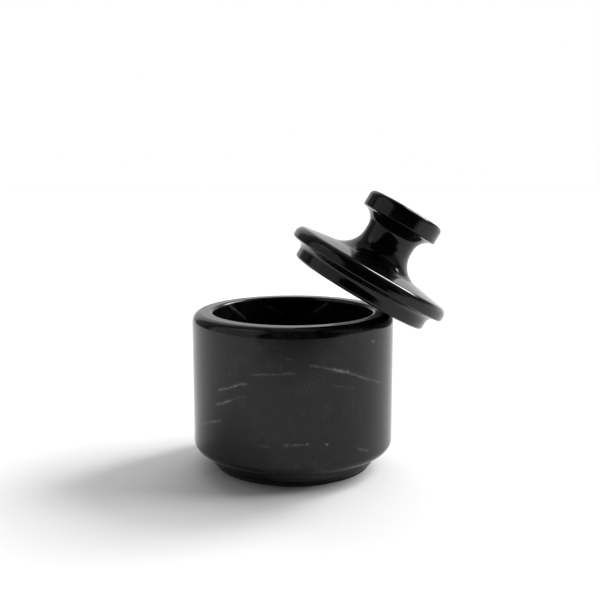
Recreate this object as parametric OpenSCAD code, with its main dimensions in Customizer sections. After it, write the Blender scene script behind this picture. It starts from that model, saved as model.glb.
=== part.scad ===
// Salt cellar turned from polished black marble: a pot with a hollow, a loose lid with a knob, and a pad.
// The origin is on the table under the middle of the pot, with +Z up. All lengths are in millimetres.
// The lid is shown off the pot, leaning on the rim at +X.

/* [Pot] */
// Outside diameter of the pot
pot_d = 85; // [70:1:110]
// Height from the table to the top of the rim
pot_h = 66; // [50:1:90]
// Thickness of the wall round the hollow
wall = 8.75; // [7:0.25:12]
// Thickness of the stone under the hollow
floor_t = 11; // [8:0.5:16]
// Rounding between the floor and the wall inside the hollow
hollow_corner_r = 10; // [3:0.5:18]
// Rounding of the rim towards the outside
rim_outer_r = 4; // [2:0.25:5.5]
// Rounding of the rim towards the hollow
rim_inner_r = 1.4; // [0.5:0.1:1.8]
// Rounding of the lower corner, above the foot
pot_corner_r = 4; // [1:0.25:6]

/* [Foot] */
// How far the foot is set in from the side of the pot
foot_inset = 7.5; // [6.5:0.25:12]
// Height of the foot, from the pad to the step
foot_h = 5.5; // [3:0.25:9]
// Rounding of the foot's lower edge
foot_edge_r = 1.2; // [0.4:0.1:2]
// Thickness of the pad under the foot
pad_t = 1.5; // [0.8:0.1:3]
// How far the pad is set in from the side of the foot
pad_inset = 1.6; // [1.2:0.1:6]

/* [Lid] */
// Gap all round between the spigot and the mouth when the lid is on
spigot_play = 3; // [0.5:0.25:4]
// Depth that the spigot reaches into the mouth
spigot_h = 7; // [4:0.25:12]
// Rounding between the spigot's side and the flange's underside
spigot_cove_r = 3.5; // [1:0.1:4]
// Rounding of the spigot's lower edge
spigot_edge_r = 1.3; // [0.4:0.1:2.5]
// How far the flange reaches over the mouth's edge
flange_lap = 2.25; // [2:0.25:5]
// Height of the flange's side, to the corner under its rounding
flange_side_h = 5.2; // [4.8:0.2:8]
// Rounding of the flange's lower edge
flange_low_r = 1; // [0.4:0.1:1.2]
// Rounding of the flange's upper edge
flange_top_r = 3.4; // [0.8:0.1:3.6]
// Rise of the flange's top towards the neck, in degrees
flange_slope = 9; // [4:1:16]

/* [Neck and knob] */
// Diameter of the neck at its waist
neck_d = 22; // [18:0.1:25]
// Radius of the cove between the flange and the neck
neck_cove_r = 10.25; // [5:0.25:11]
// Diameter of the knob
knob_d = 34; // [28:0.1:44]
// Height of the knob's lower edge above the flange's underside
knob_z = 26.2; // [25:0.2:36]
// Height of the knob's side
knob_side_h = 7.2; // [5:0.2:12]
// Rise of the knob's underside towards its edge, in degrees
knob_slope = 10; // [6:1:20]
// Radius of the cove between the neck and the knob
knob_cove_r = 6.5; // [3:0.25:6.5]
// Rounding of the knob's lower edge
knob_low_r = 0.8; // [0.3:0.1:1]
// Rounding of the knob's upper edge
knob_top_r = 2.2; // [0.5:0.1:3]
// Rise of the knob's domed top over its edge
knob_crown = 0.8; // [0.3:0.1:2]

/* [Leaning lid] */
// Angle of the lid's underside to the table, in degrees
lean_angle = 30.3; // [20:0.1:45]
// How far the lid's front edge is raised over its back edge, in degrees
lean_roll = 2.1; // [-6:0.1:6]
// Distance along the lid's underside from the lid's axis to the rim that it leans on
lean_reach = 15.2; // [8:0.2:24]
// How far the lid's middle lies behind the spot where it touches the rim
lean_back = -3.2; // [-8:0.2:8]
// Gap between the leaning lid and the rim
lean_gap = 0.3; // [0.1:0.05:0.5]

/* [Hidden] */
$fn = 180;
// One overrun serves every cut and every join
overrun = 0.5;
// How far each rounding's arc stands past its sides, so that it crosses them and leaves no sliver
arc_slack = 0.0002;
pot_r = pot_d / 2;
mouth_r = pot_r - wall;
foot_r = pot_r - foot_inset;
pad_r = foot_r - pad_inset;
step_z = pad_t + foot_h;
hollow_z = pad_t + floor_t;
spigot_r = mouth_r - spigot_play;
flange_r = mouth_r + flange_lap;
neck_r = neck_d / 2;
knob_r = knob_d / 2;
// Where the straight lines of the flange's top and of the knob's underside run into the neck
flange_neck_z = flange_side_h + (flange_r - neck_r) * tan(flange_slope);
knob_neck_z = knob_z - (knob_r - neck_r) * tan(knob_slope);
knob_edge_z = knob_z + knob_side_h;
knob_top_z = knob_edge_z + knob_crown;
// Radius of the knob's domed top, from its half width and its rise
crown_r = (pow(knob_r, 2) + pow(knob_crown, 2)) / (2 * knob_crown);
crown_z = knob_top_z - crown_r;
// The middle of the knob's upper rounding, which touches the side and the dome
knob_round_x = knob_r - knob_top_r;
knob_round_z = crown_z + sqrt(pow(crown_r - knob_top_r, 2) - pow(knob_round_x, 2));
// Directions along the sides of the profiles
up = [0, 1];
down = [0, -1];
inward = [-1, 0];
outward = [1, 0];
down_flange = [cos(flange_slope), -sin(flange_slope)];
up_flange = -down_flange;
up_knob = [cos(knob_slope), sin(knob_slope)];
down_knob = -up_knob;

function unit(v) = v / norm(v);
function half_angle(u, v) = acos(u * v) / 2;
// How far a rounding reaches along the sides u and v of its corner
function reach(r, u, v) = r / tan(half_angle(u, v));

// Each cove keeps to its share of the neck's height, and the knob's cove also to the knob's underside
neck_share = min(1, (knob_neck_z - flange_neck_z)
  / (reach(neck_cove_r, up, down_flange) + reach(knob_cove_r, down, up_knob)));
underside_w = (knob_r - neck_r) / cos(knob_slope) - reach(knob_low_r, up, down_knob);
neck_cove = neck_share * neck_cove_r;
knob_cove = min(neck_share * knob_cove_r, underside_w * tan(half_angle(down, up_knob)));
// The cove under the flange keeps to nine tenths of the straight sides beside it
spigot_cove = min(spigot_cove_r, 0.9 * (spigot_h - spigot_edge_r), 0.9 * (flange_r - flange_low_r - spigot_r));

// The sliver of a profile between a corner and the arc that rounds it, about the point named middle. The arc
// runs from the side facing n1 to the side facing n2, and the point named outside lies beyond the corner.
module arc_cut(middle, r, n1, n2, outside) {
  difference() {
    polygon([middle, middle + (r + overrun) * n1, outside, middle + (r + overrun) * n2]);
    translate(middle) circle(r + arc_slack);
  }
}

// The same sliver for a corner of two straight sides, which leave it along u and v
module corner_cut(corner, u, v, r) {
  middle = corner + unit(u + v) * r / sin(half_angle(u, v));
  n1 = unit(corner + reach(r, u, v) * u - middle);
  n2 = unit(corner + reach(r, u, v) * v - middle);
  arc_cut(middle, r, n1, n2, corner - overrun * (u + v));
}

// Half section of the pot, standing on its pad
module pot_profile() {
  difference() {
    union() {
      translate([0, step_z]) square([pot_r, pot_h - step_z]);
      translate([0, pad_t]) square([foot_r, foot_h + overrun]);
    }
    corner_cut([pot_r, pot_h], down, inward, rim_outer_r);
    corner_cut([mouth_r, pot_h], down, outward, rim_inner_r);
    corner_cut([pot_r, step_z], up, inward, pot_corner_r);
    corner_cut([foot_r, pad_t], up, inward, foot_edge_r);
    hollow_profile();
  }
}

// Half section of the hollow, open at the top
module hollow_profile() {
  difference() {
    translate([0, hollow_z]) square([mouth_r, pot_h - hollow_z + overrun]);
    corner_cut([mouth_r, hollow_z], up, inward, hollow_corner_r);
  }
}

// The rounding between the knob's side and its domed top
module knob_top_cut() {
  middle = [knob_round_x, knob_round_z];
  to_dome = unit(middle - [0, crown_z]);
  arc_cut(middle, knob_top_r, outward, to_dome, [knob_r + overrun, knob_top_z + overrun]);
}

// Half section of the space turned away round the neck, between the flange's top and the knob's underside
module neck_space_profile() {
  side_x = flange_r + overrun;
  difference() {
    polygon([
      [neck_r, flange_neck_z],
      [side_x, flange_side_h - overrun * tan(flange_slope)],
      [side_x, knob_top_z + overrun],
      [knob_r, knob_top_z + overrun],
      [knob_r, knob_z],
      [neck_r, knob_neck_z],
    ]);
    corner_cut([neck_r, flange_neck_z], up, down_flange, neck_cove);
    corner_cut([neck_r, knob_neck_z], down, up_knob, knob_cove);
  }
}

// Half section of the space turned away round the spigot, under the flange
module spigot_space_profile() {
  difference() {
    translate([spigot_r, -spigot_h - overrun]) square([flange_lap + spigot_play + overrun, spigot_h + overrun]);
    corner_cut([spigot_r, 0], down, outward, spigot_cove);
  }
}

// Half section of the lid, with the flange's underside at height zero
module lid_profile() {
  difference() {
    intersection() {
      translate([0, -spigot_h]) square([flange_r, knob_top_z + spigot_h]);
      translate([0, crown_z]) circle(crown_r);
    }
    spigot_space_profile();
    neck_space_profile();
    corner_cut([knob_r, knob_z], up, down_knob, knob_low_r);
    knob_top_cut();
    corner_cut([spigot_r, -spigot_h], up, inward, spigot_edge_r);
    corner_cut([flange_r, 0], up, inward, flange_low_r);
    corner_cut([flange_r, flange_side_h], down, up_flange, flange_top_r);
  }
}

// Turned marble pot
module pot() {
  color("#1b1b1c") rotate_extrude() pot_profile();
}

// Turned marble lid, leaned on the rounded rim: its flat underside lies along the rim's rounding, which it
// touches where the rim's own slope points the same way
module lid() {
  axis = [cos(lean_roll) * sin(lean_angle), sin(lean_roll), cos(lean_roll) * cos(lean_angle)];
  seen_from_above = unit([axis.x, axis.y]);
  rim_middle = [(pot_r - rim_outer_r) * seen_from_above.x, (pot_r - rim_outer_r) * seen_from_above.y,
    pot_h - rim_outer_r];
  color("#161617")
    translate(rim_middle + (rim_outer_r + lean_gap) * axis)
      rotate([0, lean_angle, 0])
        rotate([-lean_roll, 0, 0])
          translate([-lean_reach, lean_back, spigot_h])
            rotate_extrude() lid_profile();
}

// Thin protective disc stuck under the foot
module base_pad() {
  color("#0c0c0c") cylinder(h = pad_t, r = pad_r);
}

pot();
lid();
base_pad();
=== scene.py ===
# %% [markdown]
# # A salt cellar in polished black marble
# The object is a small round pot with a thick wall, a loose lid with a waisted knob, and a thin rubber
# disc under the foot. The imported model already holds every piece at its real size, so this script only
# dresses it: it loads that model as a fixed frame and reads the sizes of the pieces from their boxes.

# %% Load the frame
import bpy
import numpy as np
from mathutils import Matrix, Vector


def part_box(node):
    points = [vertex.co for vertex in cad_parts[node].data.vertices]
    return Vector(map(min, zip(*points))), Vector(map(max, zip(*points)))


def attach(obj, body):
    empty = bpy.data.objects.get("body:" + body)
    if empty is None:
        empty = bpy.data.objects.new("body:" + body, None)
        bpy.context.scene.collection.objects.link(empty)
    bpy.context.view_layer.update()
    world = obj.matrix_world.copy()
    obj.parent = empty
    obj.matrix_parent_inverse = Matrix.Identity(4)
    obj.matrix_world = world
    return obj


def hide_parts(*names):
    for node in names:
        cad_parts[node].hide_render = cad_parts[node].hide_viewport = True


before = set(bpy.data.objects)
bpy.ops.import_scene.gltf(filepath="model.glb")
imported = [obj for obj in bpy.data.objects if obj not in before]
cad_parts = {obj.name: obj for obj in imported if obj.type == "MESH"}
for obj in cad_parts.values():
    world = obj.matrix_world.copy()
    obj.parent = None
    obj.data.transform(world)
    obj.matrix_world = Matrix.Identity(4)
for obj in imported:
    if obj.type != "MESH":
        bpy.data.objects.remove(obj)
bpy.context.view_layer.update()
MM = 0.001

# %% [markdown]
# ## The camera
# The picture was taken from a little above the rim, close enough for the sides of the pot to lean
# together downwards. The focal length, the tilt and the distance were found by matching the outline of a
# turned pot of 85 mm to the photograph. They are kept as a focal length in pixels, because a focal length
# in millimetres only means something next to a sensor size: here the sensor is 36 mm wide and the picture
# 600 pixels.

# %% Camera
PHOTO_PX = 600
SENSOR_MM = 36
focal_px = 894.3
camera_pitch = np.radians(9.389)
camera_distance = 378.8 * MM
camera_aim = np.array([3.03, 0, 70.18]) * MM
forward = np.array([0, np.cos(camera_pitch), -np.sin(camera_pitch)])
right = np.array([1.0, 0, 0])
up = np.cross(right, forward)
camera_place = camera_aim - camera_distance * forward

camera = bpy.data.objects.new("photo_camera", bpy.data.cameras.new("photo_camera"))
camera.data.sensor_width = SENSOR_MM
camera.data.lens = focal_px / PHOTO_PX * SENSOR_MM
camera.data.clip_start = 0.01
camera.location = camera_place
camera.rotation_euler = (np.pi / 2 - camera_pitch, 0, 0)
bpy.context.scene.collection.objects.link(camera)
bpy.context.scene.camera = camera
print("lens in mm", round(camera.data.lens, 2), "camera at mm", np.round(camera_place / MM, 1))

# %% [markdown]
# ## A half section with rounded corners
# A turned piece is known by its half section: a line of straight runs and arcs beside the axis. Every
# corner of polished stone is rounded, and even an inner corner keeps the small radius of the tool, so a
# corner is written as its radius from the axis, its height and its rounding. The arc touches both sides.
# A holding point just before and just after each arc keeps the straight runs straight when the mesh is
# shaded smooth; without them a mirror-like wall would look barrel shaped.

# %% Rounded corners
ARC_STEP = np.radians(3)
HOLD_MM = 0.12
RUN_MM = 2.0


def corner_arc(before, corner, after):
    """Arc that rounds a corner: its middle lies on the bisector, at rounding / sin(half the angle), and the
    points turn evenly from one touching point to the other. Each end gets a holding point."""
    point, rounding = np.array(corner[:2], float), corner[2]
    u = np.array(before[:2]) - point
    v = np.array(after[:2]) - point
    u, v = u / np.hypot(*u), v / np.hypot(*v)
    half = np.arccos(u @ v) / 2
    reach = rounding / np.tan(half)
    middle = point + (u + v) / np.hypot(*(u + v)) * rounding / np.sin(half)
    turn = np.pi - 2 * half
    t = np.linspace(0, 1, int(np.ceil(turn / ARC_STEP)) + 2)[:, None]
    start, end = point + reach * u - middle, point + reach * v - middle
    arc = middle + (np.sin((1 - t) * turn) * start + np.sin(t * turn) * end) / np.sin(turn)
    return np.vstack([point + (reach + HOLD_MM) * u, arc, point + (reach + HOLD_MM) * v])


def filled_runs(points, longest):
    """The same line, each run over `longest` cut into equal steps: point + step / count * run."""
    runs = np.diff(points, axis=0)
    counts = np.maximum(np.ceil(np.hypot(*runs.T) / longest), 1).astype(int)
    owner = np.repeat(np.arange(len(runs)), counts)
    step = np.arange(counts.sum()) - np.repeat(np.cumsum(counts) - counts, counts)
    inside = points[owner] + (step / counts[owner])[:, None] * runs[owner]
    return np.vstack([inside, points[-1:]])


def half_section(start, corners, end):
    """Half section in millimetres, from a start point through rounded corners to an end point."""
    line = [start, *corners, end]
    arcs = [corner_arc(*line[i : i + 3]) for i in range(len(corners))]
    return filled_runs(np.vstack([start, *arcs, end]), RUN_MM)


# %% [markdown]
# ## Turning a half section into a mesh
# The lathe carries the half section round the axis. In numpy that is one product of arrays: every
# radius times the cosine and sine of every angle. Both ends of a half section lie on the axis, so each is a
# single point with a fan of triangles, and the mesh is closed. The profile runs from the underside
# outwards and up, so quads that go along the angle first and along the profile second face outwards.

# %% Turned mesh
TURN_STEPS = 288


def turned(name, profile, placed=np.eye(4)):
    """Surface of revolution: (r cos a, r sin a, z) for each profile point and angle, moved by a matrix."""
    angle = np.linspace(0, 2 * np.pi, TURN_STEPS, endpoint=False)
    r, z = profile[1:-1].T
    around = np.stack([np.cos(angle), np.sin(angle), np.ones(TURN_STEPS)], -1)
    rings = np.stack([r, r, z], -1)[:, None] * around
    poles = np.array([[0, 0, profile[0, 1]], [0, 0, profile[-1, 1]]])
    points = np.vstack([rings.reshape(-1, 3), poles]) * MM
    points = points @ placed[:3, :3].T + placed[:3, 3]
    index = np.arange(len(r) * TURN_STEPS).reshape(len(r), TURN_STEPS)
    after = np.roll(index, -1, axis=1)
    quads = np.stack([index[:-1], after[:-1], after[1:], index[1:]], -1).reshape(-1, 4)
    pole = np.full(TURN_STEPS, index.size)
    low_fan = np.stack([pole, after[0], index[0]], -1)
    top_fan = np.stack([pole + 1, index[-1], after[-1]], -1)
    fans = np.vstack([low_fan, top_fan])
    mesh = bpy.data.meshes.new(name)
    mesh.from_pydata(points.tolist(), [], quads.tolist() + fans.tolist())
    mesh.shade_smooth()
    piece = bpy.data.objects.new(name, mesh)
    bpy.context.scene.collection.objects.link(piece)
    print(name, "profile points", len(profile), "triangles", 2 * len(quads) + len(fans))
    return piece


def gap_to_solid(profile, node, placed=np.eye(4)):
    """Greatest distance in mm from a CAD node's points, seen as (radius, height), to the profile."""
    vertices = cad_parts[node].data.vertices
    co = np.empty(3 * len(vertices))
    vertices.foreach_get("co", co)
    own = (co.reshape(-1, 3) - placed[:3, 3]) @ placed[:3, :3] / MM
    p = np.stack([np.hypot(own[:, 0], own[:, 1]), own[:, 2]], -1)[:, None]
    a, run = profile[:-1], np.diff(profile, axis=0)
    t = np.clip(((p - a) * run).sum(-1) / (run * run).sum(-1), 0, 1)
    return np.linalg.norm(p - a - t[..., None] * run, axis=-1).min(1).max()


# %% [markdown]
# ## The pot
# The pot is turned from one block: a straight wall with a softly rounded rim and a rounded lower corner,
# a foot that is set in under it, and a hollow with a rounded floor. The CAD node could be kept, but its
# rounded edges are a few flat strips, and on a polished black surface every strip shows in the
# reflections. So the same half section is turned again with many more steps. The outside sizes come from
# the frame, the rest are the sizes of the turned block.

# %% Pot
pot_high = np.array(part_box("pot")[1]) / MM
pad_high = np.array(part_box("base_pad")[1]) / MM
pot_r, pot_h, pad_t = pot_high[1], pot_high[2], pad_high[2]
wall, floor_t, foot_inset, foot_h = 8.75, 11, 7.5, 5.5
rim_outer_r, rim_inner_r, pot_corner_r, foot_edge_r, hollow_corner_r = 4, 1.4, 4, 1.2, 10
tool_r = 0.15
mouth_r, foot_r = pot_r - wall, pot_r - foot_inset
hollow_z, step_z = pad_t + floor_t, pad_t + foot_h

pot_section = half_section(
    (0, pad_t),
    [
        (foot_r, pad_t, foot_edge_r),
        (foot_r, step_z, tool_r),
        (pot_r, step_z, pot_corner_r),
        (pot_r, pot_h, rim_outer_r),
        (mouth_r, pot_h, rim_inner_r),
        (mouth_r, hollow_z, hollow_corner_r),
    ],
    (0, hollow_z),
)
pot = turned("marble_pot", pot_section)
print("furthest point of the CAD pot from this section, mm", round(gap_to_solid(pot_section, "pot"), 3))

# %% [markdown]
# ## The lid
# The lid is a second turned block: a spigot that drops into the mouth, a flange that rests on the rim,
# with a small cove between them, a gently conical top that sweeps up a waisted neck, and a disc knob with
# a slightly domed top. The section is written with the flange's underside at height zero. The dome is a
# large circle through the knob's edge, and its rounded edge is the arc that touches both the knob's side
# and the dome.

# %% Lid
spigot_play, spigot_h, spigot_edge_r, spigot_cove_r = 3, 7, 1.3, 3.5
flange_lap, flange_side_h, flange_slope = 2.25, 5.2, np.radians(9)
flange_low_r, flange_top_r = 1, 3.4
neck_r, neck_cove_r = 11, 10.25
knob_r, knob_z, knob_side_h, knob_slope = 17, 26.2, 7.2, np.radians(10)
knob_cove_r, knob_low_r, knob_top_r, knob_crown = 6.5, 0.8, 2.2, 0.8
spigot_r, flange_r = mouth_r - spigot_play, mouth_r + flange_lap
flange_neck_z = flange_side_h + (flange_r - neck_r) * np.tan(flange_slope)
knob_neck_z = knob_z - (knob_r - neck_r) * np.tan(knob_slope)
knob_edge_z = knob_z + knob_side_h
crown_r = (knob_r**2 + knob_crown**2) / (2 * knob_crown)
crown_z = knob_edge_z + knob_crown - crown_r
ARC_LEAST = 8


def arc_line(middle, r, start, end):
    """Points of a circle about `middle`, from one angle to the other, in equal steps of less than half of
    ARC_STEP, and ARC_LEAST of them at least."""
    angle = np.linspace(start, end, int(abs(end - start) / ARC_STEP * 2) + ARC_LEAST)
    return np.array(middle) + r * np.stack([np.cos(angle), np.sin(angle)], -1)


round_r = knob_r - knob_top_r
round_z = crown_z + np.sqrt((crown_r - knob_top_r) ** 2 - round_r**2)
dome_angle = np.arctan2(round_z - crown_z, round_r)
knob_edge = arc_line((round_r, round_z), knob_top_r, 0, dome_angle)
knob_dome = arc_line((0, crown_z), crown_r, dome_angle, np.pi / 2)
lid_stem = half_section(
    (0, -spigot_h),
    [
        (spigot_r, -spigot_h, spigot_edge_r),
        (spigot_r, 0, spigot_cove_r),
        (flange_r, 0, flange_low_r),
        (flange_r, flange_side_h, flange_top_r),
        (neck_r, flange_neck_z, neck_cove_r),
        (neck_r, knob_neck_z, knob_cove_r),
        (knob_r, knob_z, knob_low_r),
    ],
    (knob_r, round_z - HOLD_MM),
)
knob_top = (0, crown_z + crown_r)
lid_section = filled_runs(np.vstack([lid_stem, knob_edge, knob_dome[1:-1], knob_top]), RUN_MM)

# %% [markdown]
# The lid isn't on the pot: it leans on the rim at the right, with the flat end of its spigot against the
# rim's rounding and its front edge a little raised. The flat end touches the rim's rounding where both
# face the same way, and from that spot the lid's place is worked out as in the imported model: two turns
# and a shift. The matrix is applied to the points, so the finished object itself stays at the origin,
# unturned.

# %% Lean the lid on the rim
lean_angle, lean_roll = np.radians(30.3), np.radians(2.1)
lean_reach, lean_back, lean_gap = 15.2, -3.2, 0.3
lean_along = np.array([np.cos(lean_angle), 0, -np.sin(lean_angle)])
lean_axis = np.array([np.sin(lean_angle), 0, np.cos(lean_angle)]) * np.cos(lean_roll)
lean_axis[1] = np.sin(lean_roll)
lid_turn = np.stack([lean_along, np.cross(lean_axis, lean_along), lean_axis], -1)
rim_middle_r = pot_r - rim_outer_r
rim_middle = np.array([*rim_middle_r * lean_axis[:2] / np.hypot(*lean_axis[:2]), pot_h - rim_outer_r])
rim_touch = rim_middle + (rim_outer_r + lean_gap) * lean_axis
lid_place = np.eye(4)
lid_place[:3, :3] = lid_turn
lid_place[:3, 3] = (rim_touch + lid_turn @ [-lean_reach, lean_back, spigot_h]) * MM
lid = turned("marble_lid", lid_section, lid_place)
lid_gap = gap_to_solid(lid_section, "lid", lid_place)
print("furthest point of the CAD lid from this section, mm", round(lid_gap, 3))

# %% [markdown]
# ## The pad
# A disc punched from rubber sheet is stuck under the foot, so that the stone doesn't scratch the table. A
# punch leaves a slightly rounded lower edge. The disc is turned like the stone, within the CAD node's own
# box.

# %% Pad
pad_r = pad_high[1]
pad_edge_r, pad_top_r = 0.35, 0.1
pad_section = half_section((0, 0), [(pad_r, 0, pad_edge_r), (pad_r, pad_t, pad_top_r)], (0, pad_t))
pad = turned("rubber_pad", pad_section)

# %% [markdown]
# ## Every piece rides on its body
# The pot and its pad stay on the table, and the lid is lifted off. Each mesh stands for its CAD node.

# %% Ride and replace
for piece, node, body, slot in (
    (pot, "pot", "pot", "marble"),
    (lid, "lid", "lid", "marble"),
    (pad, "base_pad", "pot", "pad"),
):
    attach(piece, body)
    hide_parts(node)

# %% [markdown]
# ## Small helpers for materials
# Colours are written as the sRGB hex values that a picture shows, and one function turns them to the
# linear values that light is added up in. One function adds a shader node: it takes the kind of node,
# what goes into its sockets, as a number or a link, and its settings.

# %% Material helpers
def linear(hex_colour):
    """Linear RGBA of an sRGB hex colour, by the standard curve with its straight foot."""
    c = np.array([int(hex_colour[i : i + 2], 16) for i in (1, 3, 5)]) / 255
    return (*np.where(c <= 0.04045, c / 12.92, ((c + 0.055) / 1.055) ** 2.4).tolist(), 1.0)


def add_node(tree, kind, inputs=None, **settings):
    """Adds a shader node with its settings, and fills sockets by name or number with values or links."""
    node = tree.nodes.new("ShaderNode" + kind)
    for key, value in settings.items():
        setattr(node, key, value)
    for key, value in (inputs or {}).items():
        if isinstance(value, bpy.types.NodeSocket):
            tree.links.new(value, node.inputs[key])
        else:
            node.inputs[key].default_value = value
    return node


def new_material(name):
    """An empty node material and its tree."""
    material = bpy.data.materials.new(name)
    material.use_nodes = True
    material.node_tree.nodes.clear()
    return material, material.node_tree


# %% [markdown]
# ## Where the white veins lie
# A vein in black marble is a crack that filled with white calcite, so in the block it is a thin bent
# sheet, and on the turned surface it shows where that sheet is cut. The veins that the picture shows are
# placed by their two ends, read off in the picture's pixels. A ray from the camera through such a pixel
# meets the wall, or through the mouth the far side of the hollow, and the sheet is the plane through both
# meeting points and square to the wall between them.

# %% Rays through the picture
def wall_point(pixel, r, inside=False):
    """Where the ray through a pixel meets the cylinder of radius r mm about the axis: the nearer root of
    |place + t * ray| = r seen from above, or the further one for the inside of the hollow. In mm."""
    ray = forward * focal_px + right * (pixel[0] - PHOTO_PX / 2) - up * (pixel[1] - PHOTO_PX / 2)
    place = camera_place / MM
    a, b, c = ray[:2] @ ray[:2], place[:2] @ ray[:2], place[:2] @ place[:2] - r * r
    root = np.sqrt(max(b * b - a * c, 0))
    return place + (-b + (root if inside else -root)) / a * ray


def crack_between(start, end, width, strength, into=None):
    """A vein as a sheet: the middle of its two ends, the normal of the plane through them that runs into
    the stone, its half length, its width in mm and how white it is. The sheet runs straight at the pot's
    axis, or along the direction `into`."""
    middle = (start + end) / 2
    if into is None:
        into = middle * (1, 1, 0)
    normal = np.cross(end - start, into)
    return middle, normal / np.linalg.norm(normal), np.linalg.norm(end - start) / 2, width, strength


# %% [markdown]
# Each row gives the two ends of a vein in pixels, its width in millimetres and its strength. The outside
# ones are read on the front wall, the inside ones on the far side of the hollow. The picture doesn't show
# the other sides, so the veins there are made up in the same style: their ends are given by the angle
# round the pot from the right, through the back, and by the height.

# %% Veins of the pot
FRONT_VEINS = (
    ((216, 390.5), (248, 383), 0.9, 0.22),
    ((215, 404), (232, 400.5), 1.0, 0.26),
    ((228, 401), (248, 397), 0.8, 0.05),
    ((201, 424.5), (222, 419.5), 0.9, 0.17),
    ((248, 374.5), (299, 374), 0.9, 0.1),
    ((308, 365), (338, 369), 0.9, 0.13),
    ((332, 368), (350, 372), 1.1, 0.28),
    ((344, 371), (382, 384), 1.0, 0.11),
    ((330, 385), (356, 389), 0.8, 0.04),
    ((257, 446), (270, 446), 0.8, 0.08),
    ((282, 446), (307, 445), 0.9, 0.13),
    ((284, 359), (294, 360.5), 0.8, 0.035),
    ((357, 448), (369, 451), 0.9, 0.1),
)
FRONT_SPOTS = (
    ((307, 444.5), 1.0, 0.22),
    ((327, 444), 1.0, 0.2),
    ((373, 341), 1.1, 0.2),
    ((229, 374), 0.9, 0.07),
)
# A spot is a short level vein that reaches this far to either side
SPOT_PX = 2
INSIDE_VEINS = (
    ((229, 304), (247, 320), 1.0, 0.17),
    ((259, 303), (287, 316), 0.9, 0.08),
    ((313, 313), (328, 302), 1.0, 0.13),
)
BACK_VEINS = (
    ((352, 42), (20, 37), 1.0, 0.14),
    ((38, 33), (64, 37), 0.9, 0.2),
    ((58, 38), (80, 37), 0.9, 0.1),
    ((95, 48), (128, 44), 1.0, 0.13),
    ((110, 27), (135, 30), 0.9, 0.22),
    ((130, 31), (150, 33), 0.8, 0.08),
    ((162, 21), (184, 24), 0.9, 0.15),
    ((75, 17), (92, 16), 0.8, 0.1),
)


def turned_point(angle, r, z):
    """Point of a turned surface in mm: (r cos angle, r sin angle, z), with the angle in degrees."""
    return np.array([r * np.cos(np.radians(angle)), r * np.sin(np.radians(angle)), z])


pot_cracks = [crack_between(wall_point(a, pot_r), wall_point(b, pot_r), w, s) for a, b, w, s in FRONT_VEINS]
pot_cracks += [
    crack_between(wall_point(a, mouth_r, True), wall_point(b, mouth_r, True), w, s)
    for a, b, w, s in INSIDE_VEINS
]
pot_cracks += [
    crack_between(wall_point((x - SPOT_PX, y), pot_r), wall_point((x + SPOT_PX, y), pot_r), w, s)
    for (x, y), w, s in FRONT_SPOTS
]
pot_cracks += [
    crack_between(turned_point(a, pot_r, low), turned_point(b, pot_r, high), w, s)
    for (a, low), (b, high), w, s in BACK_VEINS
]
print("veins and spots on the pot", len(pot_cracks))

# %% [markdown]
# The lid shows no vein from the front. Two short ones cross the back of its flange. Their ends lie on the
# conical top, by the angle round the lid and the radius, and their sheets stand along the lid's axis.

# %% Veins of the lid
LID_VEINS = (((58, 33), (84, 22), 0.9, 0.15), ((112, 30), (140, 33), 0.8, 0.1))


def flange_point(angle, r):
    """Point of the leaning lid's conical top, in mm: it rises by the flange's slope towards the neck."""
    own = turned_point(angle, r, flange_side_h + (flange_r - r) * np.tan(flange_slope))
    return lid_turn @ own + lid_place[:3, 3] / MM


lid_cracks = [
    crack_between(flange_point(*a), flange_point(*b), w, s, lean_axis) for a, b, w, s in LID_VEINS
]
print("veins on the lid", len(lid_cracks))

# %% [markdown]
# ## Polished black marble
# Black marble takes a mirror polish on the lathe: felt and tin oxide close the surface until it reflects
# like dark glass. So the eye gets four things: a nearly black ground with faint cloudy greys, thin white
# veins that waver and break, a few tiny calcite flecks, and a sharp clear reflection that grows towards
# the edges. The sheets of the veins are bent by a slow noise and cut up by a quick one. Noise scales are
# worked out from sizes in millimetres on Object coordinates.

# %% Marble
# Sizes of the clouds, the mottle, the bends and breaks of a vein, and the cells that hold one fleck each
CLOUD_MM, MOTTLE_MM, BEND_MM, BREAK_MM, FLECK_MM = 14, 4, 9, 2.2, 5
# How far a vein bends aside, and how deep its softer calcite lies under the polish
BEND_BY_MM, VEIN_DEPTH_MM = 1.1, 0.01
# Shares of a vein's half length at which it starts to fade and at which it ends
VEIN_FADES, VEIN_ENDS = 0.7, 1.1
# Noise values between which a vein goes from its faintest, as a share, to its full strength
BREAK_FROM, BREAK_TO, BREAK_LEAST = 0.34, 0.66, 0.35
# Noise values between which the ground goes from black to cloudy
CLOUDY_FROM, CLOUDY_TO = 0.19, 0.4
# A fleck's core and edge as shares of its cell, and how white it is
FLECK_CORE, FLECK_EDGE, FLECK_WHITE = 0.03, 0.07, 0.05
# Roughness of the best and of the least polish, and what a white vein adds to it
POLISH_BEST, POLISH_LEAST, VEIN_DULLER = 0.08, 0.12, 0.15
# Marble has an IOR of about 1.5; the dark reflections in the picture ask for less
STONE_IOR = 1.37
CALCITE = "#c9c7c2"


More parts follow.
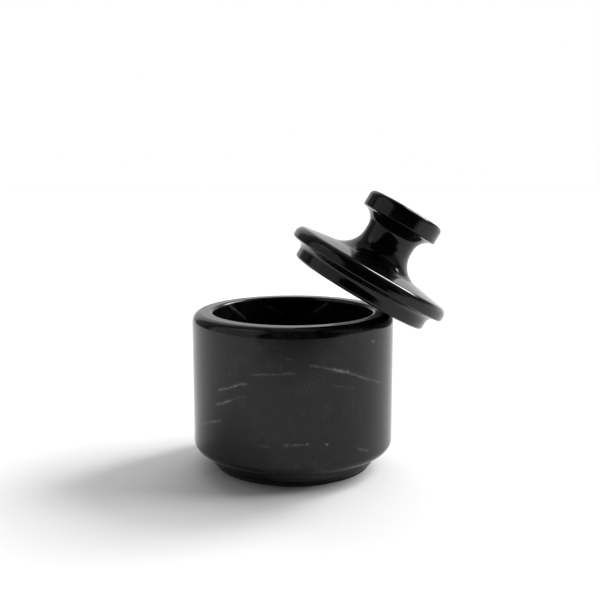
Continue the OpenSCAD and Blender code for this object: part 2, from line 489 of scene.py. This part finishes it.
def polished_black_marble(name, cracks, black, cloudy):
    """Nearly black stone that clouds from one colour to another. Each crack is a whiteness that falls
    smoothly from its strength to nothing over its width to either side, and fades between two shares of its
    half length. The greatest of them is taken."""
    material, tree = new_material(name)
    place = add_node(tree, "TexCoord").outputs["Object"]
    mm = add_node(tree, "VectorMath", {0: place, "Scale": 1 / MM}, operation="SCALE").outputs[0]
    bend = add_node(tree, "TexNoise", {"Vector": mm, "Scale": 1 / BEND_MM, "Detail": 3}).outputs["Color"]
    shift = add_node(tree, "VectorMath", {0: bend, 1: (0.5, 0.5, 0.5)}, operation="SUBTRACT").outputs[0]
    bent = add_node(
        tree, "VectorMath", {0: shift, 1: (2 * BEND_BY_MM,) * 3, 2: mm}, operation="MULTIPLY_ADD"
    ).outputs[0]

    veins = 0.0
    for middle, normal, half, width, strength in cracks:
        height = add_node(tree, "VectorMath", {0: bent, 1: tuple(normal)}, operation="DOT_PRODUCT")
        from_sheet = {0: height.outputs["Value"], 1: float(normal @ middle)}
        off = add_node(tree, "Math", from_sheet, operation="SUBTRACT").outputs[0]
        away = add_node(tree, "Math", {0: off}, operation="ABSOLUTE").outputs[0]
        across = {"Value": away, "From Max": width, "To Min": strength, "To Max": 0.0}
        line = add_node(tree, "MapRange", across, interpolation_type="SMOOTHSTEP").outputs[0]
        far = add_node(tree, "VectorMath", {0: mm, 1: tuple(middle)}, operation="DISTANCE").outputs["Value"]
        along = {"From Min": VEIN_FADES * half, "From Max": VEIN_ENDS * half, "To Min": 1.0, "To Max": 0.0}
        end = add_node(tree, "MapRange", {"Value": far, **along}, interpolation_type="SMOOTHSTEP")
        vein = add_node(tree, "Math", {0: line, 1: end.outputs[0]}, operation="MULTIPLY").outputs[0]
        veins = add_node(tree, "Math", {0: vein, 1: veins}, operation="MAXIMUM").outputs[0]

    chips = add_node(tree, "TexNoise", {"Vector": mm, "Scale": 1 / BREAK_MM, "Detail": 2}).outputs["Fac"]
    breaks = {"From Min": BREAK_FROM, "From Max": BREAK_TO, "To Min": BREAK_LEAST, "To Max": 1.0}
    broken = add_node(tree, "MapRange", {"Value": chips, **breaks}).outputs[0]
    veins = add_node(tree, "Math", {0: veins, 1: broken}, operation="MULTIPLY").outputs[0]
    cell = add_node(tree, "TexVoronoi", {"Vector": mm, "Scale": 1 / FLECK_MM})
    fall = {"From Min": FLECK_CORE, "From Max": FLECK_EDGE, "To Min": FLECK_WHITE, "To Max": 0.0}
    fleck = add_node(tree, "MapRange", {"Value": cell.outputs["Distance"], **fall}).outputs[0]
    white = add_node(tree, "Math", {0: veins, 1: fleck}, operation="MAXIMUM").outputs[0]

    cloud_noise = {"Vector": mm, "Scale": 1 / CLOUD_MM, "Detail": 5, "Roughness": 0.6}
    cloud = add_node(tree, "TexNoise", cloud_noise).outputs["Fac"]
    mottle = add_node(tree, "TexNoise", {"Vector": mm, "Scale": 1 / MOTTLE_MM, "Detail": 4}).outputs["Fac"]
    grey = add_node(tree, "Math", {0: cloud, 1: mottle}, operation="MULTIPLY").outputs[0]
    cloudiness = {"Value": grey, "From Min": CLOUDY_FROM, "From Max": CLOUDY_TO}
    patchy = add_node(tree, "MapRange", cloudiness).outputs[0]
    greys = {0: patchy, 6: linear(black), 7: linear(cloudy)}
    ground = add_node(tree, "Mix", greys, data_type="RGBA").outputs[2]
    colour = add_node(tree, "Mix", {0: white, 6: ground, 7: linear(CALCITE)}, data_type="RGBA").outputs[2]
    gloss = {"From Min": 0.3, "From Max": 0.7, "To Min": POLISH_BEST, "To Max": POLISH_LEAST}
    polish = add_node(tree, "MapRange", {"Value": cloud, **gloss}).outputs[0]
    dull_veins = {0: white, 1: VEIN_DULLER, 2: polish}
    rough = add_node(tree, "Math", dull_veins, operation="MULTIPLY_ADD").outputs[0]
    sunk = {"Height": white, "Strength": 0.3, "Distance": -VEIN_DEPTH_MM * MM}
    bump = add_node(tree, "Bump", sunk).outputs[0]
    stone = {"Base Color": colour, "Roughness": rough, "IOR": STONE_IOR, "Normal": bump}
    shader = add_node(tree, "BsdfPrincipled", stone).outputs[0]
    add_node(tree, "OutputMaterial", {"Surface": shader})
    print(name, "nodes", len(tree.nodes))
    return material


pot_marble = polished_black_marble("polished_black_marble_pot", pot_cracks, "#070708", "#1d1d1e")
# The lid is cut from the same stone, but its copy has a darker ground and darker clouds than the pot's.
# That is painted shade: it holds back the stronger light that the leaning lid catches, so that the lid
# doesn't look greyer than the pot.
lid_marble_painted_darker = polished_black_marble("polished_black_marble_lid", lid_cracks, "#040405", "#101011")
pot.data.materials.append(pot_marble)
lid.data.materials.append(lid_marble_painted_darker)

# %% [markdown]
# ## Black rubber
# The pad is matt black rubber sheet, calendered between rolls: no gloss, and a fine grain that only shows
# as a soft, even dullness.

# %% Rubber
GRAIN_MM, GRAIN_DEPTH_MM = 0.5, 0.05
rubber, rubber_tree = new_material("matt_black_rubber")
rubber_mm = add_node(
    rubber_tree,
    "VectorMath",
    {0: add_node(rubber_tree, "TexCoord").outputs["Object"], "Scale": 1 / MM},
    operation="SCALE",
).outputs[0]
grain_noise = {"Vector": rubber_mm, "Scale": 1 / GRAIN_MM, "Detail": 3}
grain = add_node(rubber_tree, "TexNoise", grain_noise).outputs["Fac"]
rubber_colour = add_node(
    rubber_tree, "Mix", {0: grain, 6: linear("#161616"), 7: linear("#242424")}, data_type="RGBA"
).outputs[2]
rubber_relief = {"Height": grain, "Strength": 0.5, "Distance": GRAIN_DEPTH_MM * MM}
rubber_bump = add_node(rubber_tree, "Bump", rubber_relief).outputs[0]
rubber_shader = add_node(
    rubber_tree, "BsdfPrincipled", {"Base Color": rubber_colour, "Roughness": 0.8, "Normal": rubber_bump}
).outputs[0]
add_node(rubber_tree, "OutputMaterial", {"Surface": rubber_shader})
pad.data.materials.append(rubber)
print("rubber nodes", len(rubber_tree.nodes))

# %% [markdown]
# ## The floor
# The object stands on a plain white table top. It ends in front of the object, about under the camera,
# and the dark room past that edge is what the front of the rim and of the lid mirror. The edge fades out,
# so that the stone shows no hard line. A view from behind sees plain white there, as past the table
# anywhere else.

# %% Floor
FLOOR_FRONT, FLOOR_BACK, FLOOR_SIDE = -0.4, 3.0, 3.0
FADE_FROM, FADE_TO = -0.19, -0.4
floor_mesh = bpy.data.meshes.new("table_top")
floor_mesh.from_pydata(
    [
        (-FLOOR_SIDE, FLOOR_FRONT, 0),
        (FLOOR_SIDE, FLOOR_FRONT, 0),
        (FLOOR_SIDE, FLOOR_BACK, 0),
        (-FLOOR_SIDE, FLOOR_BACK, 0),
    ],
    [],
    [(0, 1, 2, 3)],
)
floor = bpy.data.objects.new("table_top", floor_mesh)
bpy.context.scene.collection.objects.link(floor)
white_top, white_tree = new_material("matt_white_table_top")
floor_place = add_node(white_tree, "TexCoord").outputs["Object"]
floor_y = add_node(white_tree, "SeparateXYZ", {0: floor_place}).outputs["Y"]
fade = {"Value": floor_y, "From Min": FADE_TO, "From Max": FADE_FROM}
cover = add_node(white_tree, "MapRange", fade).outputs[0]
matt_white = {"Base Color": linear("#ececec"), "Roughness": 0.9, "Specular IOR Level": 0.1, "Alpha": cover}
white_shader = add_node(white_tree, "BsdfPrincipled", matt_white).outputs[0]
add_node(white_tree, "OutputMaterial", {"Surface": white_shader})
floor.data.materials.append(white_top)
print("floor from", FLOOR_FRONT, "to", FLOOR_BACK, "m")

# %% [markdown]
# ## The key and the fill
# The key is a soft box at the right of the object, a third of the way up the sky. It throws one broad
# soft shadow to the left. A very wide fill from behind, where a lit white sweep stands, lightens that
# shadow and leaves the foot its own dark shadow in front. Both are far away compared with the object, so
# they are sun lamps with the width of a soft box. Each row gives the direction left of the back, the
# height above the table and the width in degrees, and the strength. What the stone mirrors is drawn in
# the next step as panels of the studio. The panels light the scene too, and the brightest of them, a soft
# box behind at the right, is stronger than the key.

# %% Key and fill
LAMPS = (
    ("key_light", -80, 31, 30, 2.1),
    ("fill_light", -4, 35, 76, 1.7),
)
for name, left, height, wide, energy in LAMPS:
    lamp = bpy.data.objects.new(name, bpy.data.lights.new(name, "SUN"))
    lamp.data.energy, lamp.data.angle = energy, np.radians(wide)
    lamp.rotation_euler = (0, np.radians(90 - height), np.radians(90 + left))
    lamp.visible_glossy = False
    bpy.context.scene.collection.objects.link(lamp)
print("lamps", [lamp[0] for lamp in LAMPS])

# %% [markdown]
# ## What the stone mirrors
# A polished black object shows what stands round it. Each panel of the studio is a soft-edged patch of
# the sky: its direction left of the back and its height in degrees, half its size both ways, the width of
# its soft edge, and its brightness against a white of one. Where panels overlap the brightest counts, and
# what is left over is the dark room behind the camera. The camera itself sees plain white past the table.

# %% Studio panels
PANELS = (
    ("white sweep at the right", (-69, -8), (66, 24), 14, 1.0),
    ("backdrop", (0, 13), (42, 41), 12, 0.8),
    ("foot of the backdrop", (0, -8), (45, 18), 11, 1.0),
    ("dim wall beside the backdrop", (0, 30), (75, 60), 16, 0.22),
    ("left card", (107, 20), (40, 46), 12, 0.65),
    ("left card, upper part", (99, 56), (26, 19), 12, 0.95),
    ("right wall", (-100, 36), (30, 32), 16, 0.25),
    ("ceiling", (0, 95), (140, 26), 14, 0.32),
    ("soft box behind at the right", (-54, 39), (12, 17), 6, 20.5),
)
DARK_ROOM = 0.01
world = bpy.data.worlds.new("studio")
bpy.context.scene.world = world
world.use_nodes = True
sky = world.node_tree
sky.nodes.clear()
ray = add_node(sky, "SeparateXYZ", {0: add_node(sky, "TexCoord").outputs["Generated"]}).outputs
leftward = add_node(sky, "Math", {0: ray["X"], 1: -1.0}, operation="MULTIPLY").outputs[0]
azimuth = add_node(sky, "Math", {0: leftward, 1: ray["Y"]}, operation="ARCTAN2").outputs[0]
elevation = add_node(sky, "Math", {0: ray["Z"]}, operation="ARCSINE").outputs[0]
glow = DARK_ROOM
for name, middle, half, soft, bright in PANELS:
    patch = bright
    for angle, at, reach in zip((azimuth, elevation), np.radians(middle), np.radians(half)):
        off = add_node(sky, "Math", {0: angle, 1: float(at)}, operation="SUBTRACT").outputs[0]
        away = add_node(sky, "Math", {0: off}, operation="ABSOLUTE").outputs[0]
        edge = {"From Min": reach - np.radians(soft), "From Max": reach, "To Min": 1.0, "To Max": 0.0}
        within = add_node(sky, "MapRange", {"Value": away, **edge}, interpolation_type="SMOOTHSTEP")
        patch = add_node(sky, "Math", {0: within.outputs[0], 1: patch}, operation="MULTIPLY").outputs[0]
    glow = add_node(sky, "Math", {0: patch, 1: glow}, operation="MAXIMUM").outputs[0]
seen = add_node(sky, "LightPath").outputs["Is Camera Ray"]
studio = add_node(sky, "Math", {0: seen, 1: glow}, operation="MAXIMUM").outputs[0]
background = add_node(sky, "Background", {"Color": studio, "Strength": 1.0}).outputs[0]
add_node(sky, "OutputWorld", {"Surface": background})
bpy.context.scene.view_settings.view_transform = "Standard"
print("studio panels", [panel[0] for panel in PANELS])
